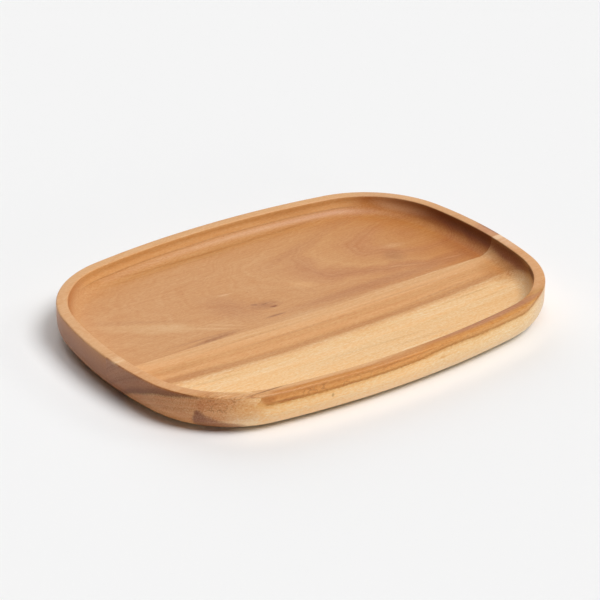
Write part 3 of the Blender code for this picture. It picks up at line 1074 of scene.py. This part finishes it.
def rear_acacia(wood):
    """Oiled acacia heartwood, flat-sawn: tan-brown, with dim nested loops, a pale feather and small knots.

    It darkens to orange-brown towards the right end, and the rim's flat top is painted paler than the floor
    as a painted sheen.
    """
    material, tree = new_material("oiled_acacia_rear")
    place = place_in_wood(tree, wood)
    fray = streaks(tree, place, wood.fleck_length, wood.fibre_width)
    growth = loop_growth(tree, place)
    spread = add_node(tree, "ShaderNodeSeparateXYZ", {"Vector": place}).outputs
    near_arcs = mark_share(tree, place, fray, LOOPS_SHOWN)
    shown = add_node(tree, "ShaderNodeMath", {0: near_arcs, 1: LOOPS_HINT}, operation="ADD")
    loops = coloured_by(tree, growth, REAR_LOOPS)
    figure = {"Factor": shown, MIX_UNDER: linear(REAR_PLAIN), MIX_OVER: loops}
    looped = add_node(tree, "ShaderNodeMix", figure, data_type="RGBA")
    lengthwise = coloured_by(tree, spread["X"], REAR_LENGTHWISE)
    darker = {"Factor": 1.0, MIX_UNDER: looped, MIX_OVER: lengthwise}
    shaded = add_node(tree, "ShaderNodeMix", darker, data_type="RGBA", blend_type="MULTIPLY")
    marked = with_marks(tree, shaded, place, fray, REAR_MARKS)
    turn = (0.0, 0.0, -math.radians(FEATHER_TURN))
    along_feather = add_node(tree, "ShaderNodeMapping", {"Vector": place, "Rotation": turn})
    barbs = streaks(tree, along_feather, wood.fibre_length, wood.fibre_width)
    feathered = with_marks(tree, marked, place, barbs, FEATHER_MARKS)
    walled = rear_wall(tree, feathered, spread)
    rimmed = rim_painted_sheen(tree, walled, spread["Z"], REAR_RIM)
    topped = with_marks(tree, rimmed, place, fray, REAR_RIM_MARKS)
    finish_wood(tree, topped, growth, place, wood, REAR_END_LAYERS, REAR_LIVELINESS)
    return material


def straightened(tree, place):
    """Returns the place with the bow of the front rim taken out, so that a mark can follow the rim."""
    along = add_node(tree, "ShaderNodeSeparateXYZ", {"Vector": place}).outputs["X"]
    squared = add_node(tree, "ShaderNodeMath", {0: along, 1: along}, operation="MULTIPLY")
    across = 2 * LONG_SIDE_RADIUS * MILLIMETRES
    bow = add_node(tree, "ShaderNodeMath", {0: squared, 1: across}, operation="DIVIDE")
    shift = add_node(tree, "ShaderNodeCombineXYZ", {"Y": bow})
    return add_node(tree, "ShaderNodeVectorMath", {0: place, 1: shift}, operation="SUBTRACT")


def front_acacia(wood):
    """Oiled acacia, straight-grained: tan heartwood over pale sapwood, with a dark line between them."""
    material, tree = new_material("oiled_acacia_front")
    place = place_in_wood(tree, wood)
    fray = streaks(tree, place, wood.fleck_length, wood.fibre_width)
    growth = sapwood_growth(tree, place, fray)
    spread = add_node(tree, "ShaderNodeSeparateXYZ", {"Vector": place}).outputs
    outside = add_node(
        tree,
        "ShaderNodeMapRange",
        {"Value": spread["Y"], "From Min": FRONT_WALL_BEHIND, "From Max": FRONT_WALL_FROM},
        interpolation_type="SMOOTHSTEP",
    )
    wall_layers = coloured_by(tree, growth, FRONT_WALL_LAYERS)
    lengthwise = coloured_by(tree, spread["X"], FRONT_LENGTHWISE)
    cooler = {"Factor": 1.0, MIX_UNDER: wall_layers, MIX_OVER: lengthwise}
    wall = add_node(tree, "ShaderNodeMix", cooler, data_type="RGBA", blend_type="MULTIPLY")
    floor_layers = coloured_by(tree, growth, FRONT_FLOOR_LAYERS)
    # The rim's flat top is painted paler, a painted sheen
    inside = rim_painted_sheen(tree, floor_layers, spread["Z"], FRONT_RIM)
    joined = {"Factor": outside, MIX_UNDER: inside, MIX_OVER: wall}
    layered = add_node(tree, "ShaderNodeMix", joined, data_type="RGBA")
    at_end = add_node(
        tree,
        "ShaderNodeMapRange",
        {"Value": end_facing(tree, 1.0), "From Min": END_WALL_FROM, "From Max": END_WALL_FULL},
        interpolation_type="SMOOTHSTEP",
    )
    on_left = add_node(tree, "ShaderNodeMath", {0: spread["X"], 1: 0.0}, operation="LESS_THAN")
    at_left_end = add_node(tree, "ShaderNodeMath", {0: at_end, 1: on_left}, operation="MULTIPLY")
    end_layers = coloured_by(tree, growth, END_WALL_LAYERS)
    browner = {"Factor": at_left_end, MIX_UNDER: layered, MIX_OVER: end_layers}
    ended = add_node(tree, "ShaderNodeMix", browner, data_type="RGBA")
    marked = with_marks(tree, ended, place, fray, FRONT_MARKS + CORNER_MARKS)
    rimmed = with_marks(tree, marked, straightened(tree, place), fray, RIM_MARKS)
    wound = curled(tree, rimmed, place, fray)
    finish_wood(tree, wound, growth, place, wood, FRONT_END_LAYERS, FRONT_LIVELINESS)
    return material


class TRAY_OT_rear_board(bpy.types.Operator):
    """Makes the rear board: flat-sawn heartwood with nested loops of figure."""

    bl_idname = "tray.rear_board"
    bl_label = "Make Rear Board"

    def execute(self, context):
        form = context.scene.tray_form
        wood = rear_acacia(context.scene.tray_wood)
        board = make_board(form, "flat_sawn_rear_board", 1, wood)
        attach(board, "root")
        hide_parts("rear_board")
        return {"FINISHED"}


class TRAY_OT_front_board(bpy.types.Operator):
    """Makes the front board: straight heartwood above pale sapwood."""

    bl_idname = "tray.front_board"
    bl_label = "Make Front Board"

    def execute(self, context):
        form = context.scene.tray_form
        wood = front_acacia(context.scene.tray_wood)
        board = make_board(form, "straight_front_board", -1, wood)
        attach(board, "root")
        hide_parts("front_board")
        return {"FINISHED"}


def table_material(studio):
    """Matt pale paper: the eye sees an even near-white with only the tray's soft shadow on it."""
    material, tree = new_material("matt_paper")
    shader = tree.nodes["Principled BSDF"]
    shader.inputs["Base Color"].default_value = studio.table_colour
    shader.inputs["Roughness"].default_value = PAPER_ROUGHNESS
    shader.inputs["Specular IOR Level"].default_value = PAPER_SHEEN
    return material


def make_table(studio):
    """Makes the table top as one flat face under the tray."""
    half = studio.table_size / 2
    mesh = bpy.data.meshes.new("table")
    corners = [(-half, -half, 0.0), (half, -half, 0.0), (half, half, 0.0), (-half, half, 0.0)]
    mesh.from_pydata(corners, [], [(0, 1, 2, 3)])
    mesh.materials.append(table_material(studio))
    table = bpy.data.objects.new("table", mesh)
    bpy.context.scene.collection.objects.link(table)
    table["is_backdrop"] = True
    return table


def turned_away(azimuth, elevation):
    """Returns the direction from the tray to something at an azimuth from the front and an elevation."""
    level = math.cos(elevation)
    return Vector((math.sin(azimuth) * level, -math.cos(azimuth) * level, math.sin(elevation)))


def make_soft_light(name, aim, table_share, mirrored):
    """Makes a large soft light that gives the table its share of light, whatever its height.

    A light that comes off a pale wall isn't mirrored in the oil as a disc of its own.
    """
    azimuth, elevation, spread = aim
    lamp = bpy.data.lights.new(name, "SUN")
    lamp.energy = math.pi * table_share / math.sin(elevation)
    lamp.angle = spread
    light = bpy.data.objects.new(name, lamp)
    towards = turned_away(azimuth, elevation)
    light.rotation_euler = towards.to_track_quat("Z", "Y").to_euler()
    light.location = towards
    light.visible_glossy = mirrored
    bpy.context.scene.collection.objects.link(light)
    return light


def make_room(studio):
    """Makes the world: dim to the tray, and near-white where it is seen or mirrored."""
    world = bpy.data.worlds.new("pale_room")
    world.use_nodes = True
    tree = world.node_tree
    tree.nodes.clear()
    path = add_node(tree, "ShaderNodeLightPath").outputs
    through = {0: path["Is Camera Ray"], 1: path["Is Transmission Ray"]}
    seen = add_node(tree, "ShaderNodeMath", through, operation="MAXIMUM")
    shares = {"Value": seen, "To Min": studio.room_share, "To Max": studio.room_shown}
    shown = add_node(tree, "ShaderNodeMapRange", shares)
    strengths = {"Value": path["Is Glossy Ray"], "To Min": shown, "To Max": studio.room_mirrored}
    strength = add_node(tree, "ShaderNodeMapRange", strengths)
    room = add_node(tree, "ShaderNodeBackground", {"Color": studio.table_colour, "Strength": strength})
    add_node(tree, "ShaderNodeOutputWorld", {"Surface": room})
    bpy.context.scene.world = world
    return world


def make_camera(studio):
    """Makes the camera, which looks at the middle of the rim and is then panned and rolled."""
    lens = bpy.data.cameras.new("camera")
    lens.lens = studio.camera_lens
    lens.sensor_width = SENSOR_WIDTH
    back = turned_away(studio.camera_azimuth, studio.camera_elevation)
    level = Vector((math.cos(studio.camera_azimuth), math.sin(studio.camera_azimuth), 0.0))
    roll = Matrix.Rotation(studio.camera_roll, 3, back)
    right = roll @ level
    up = roll @ back.cross(level)
    rim_middle = Vector((0.0, 0.0, CAD_SIZE.z))
    across, above = studio.camera_pan
    camera = bpy.data.objects.new("camera", lens)
    turn = Matrix((right, up, back)).transposed()
    camera.rotation_euler = turn.to_euler()
    camera.location = rim_middle + back * studio.camera_distance + right * across + up * above
    bpy.context.scene.collection.objects.link(camera)
    bpy.context.scene.camera = camera
    return camera


class TRAY_OT_stage(bpy.types.Operator):
    """Makes the table, the soft light, the room and the camera."""

    bl_idname = "tray.stage"
    bl_label = "Make Stage"

    def execute(self, context):
        studio = context.scene.tray_studio
        make_table(studio)
        for name, aim, table_share, mirrored in (
            ("soft_key", studio.key_aim, studio.key_share, True),
            ("overhead_softbox", studio.overhead_aim, studio.overhead_share, True),
            ("rear_bounce", studio.rear_aim, studio.rear_share, False),
            ("side_fill", studio.side_aim, studio.side_share, False),
            ("front_fill", studio.front_aim, studio.front_share, False),
        ):
            make_soft_light(name, aim, table_share, mirrored)
        make_room(studio)
        make_camera(studio)
        context.scene.view_settings.view_transform = "Standard"
        return {"FINISHED"}


class TRAY_PT_panel(bpy.types.Panel):
    """Lists the tray's operators and settings in the sidebar."""

    bl_label = "Acacia Tray"
    bl_space_type = "VIEW_3D"
    bl_region_type = "UI"
    bl_category = "Tray"

    def draw(self, context):
        column = self.layout.column()
        for operator in (TRAY_OT_rear_board, TRAY_OT_front_board, TRAY_OT_stage):
            column.operator(operator.bl_idname)
        scene = context.scene
        for group in (scene.tray_form, scene.tray_wood, scene.tray_studio):
            for name in group.bl_rna.properties.keys():
                if name not in ("rna_type", "name"):
                    column.prop(group, name)


GROUPS = {"tray_form": TrayForm, "tray_wood": TrayWood, "tray_studio": TrayStudio}
CLASSES = (*GROUPS.values(), TRAY_OT_rear_board, TRAY_OT_front_board, TRAY_OT_stage, TRAY_PT_panel)


def register():
    """Registers the classes and hangs the settings on the scene."""
    for item in CLASSES:
        bpy.utils.register_class(item)
    for name, group in GROUPS.items():
        setattr(bpy.types.Scene, name, bpy.props.PointerProperty(type=group))


def unregister():
    """Takes the settings and the classes away."""
    for name in GROUPS:
        delattr(bpy.types.Scene, name)
    for item in reversed(CLASSES):
        bpy.utils.unregister_class(item)


def main():
    """Makes the boards and the stage."""
    register()
    bpy.ops.tray.rear_board()
    bpy.ops.tray.front_board()
    bpy.ops.tray.stage()


if __name__ == "__main__":
    main()
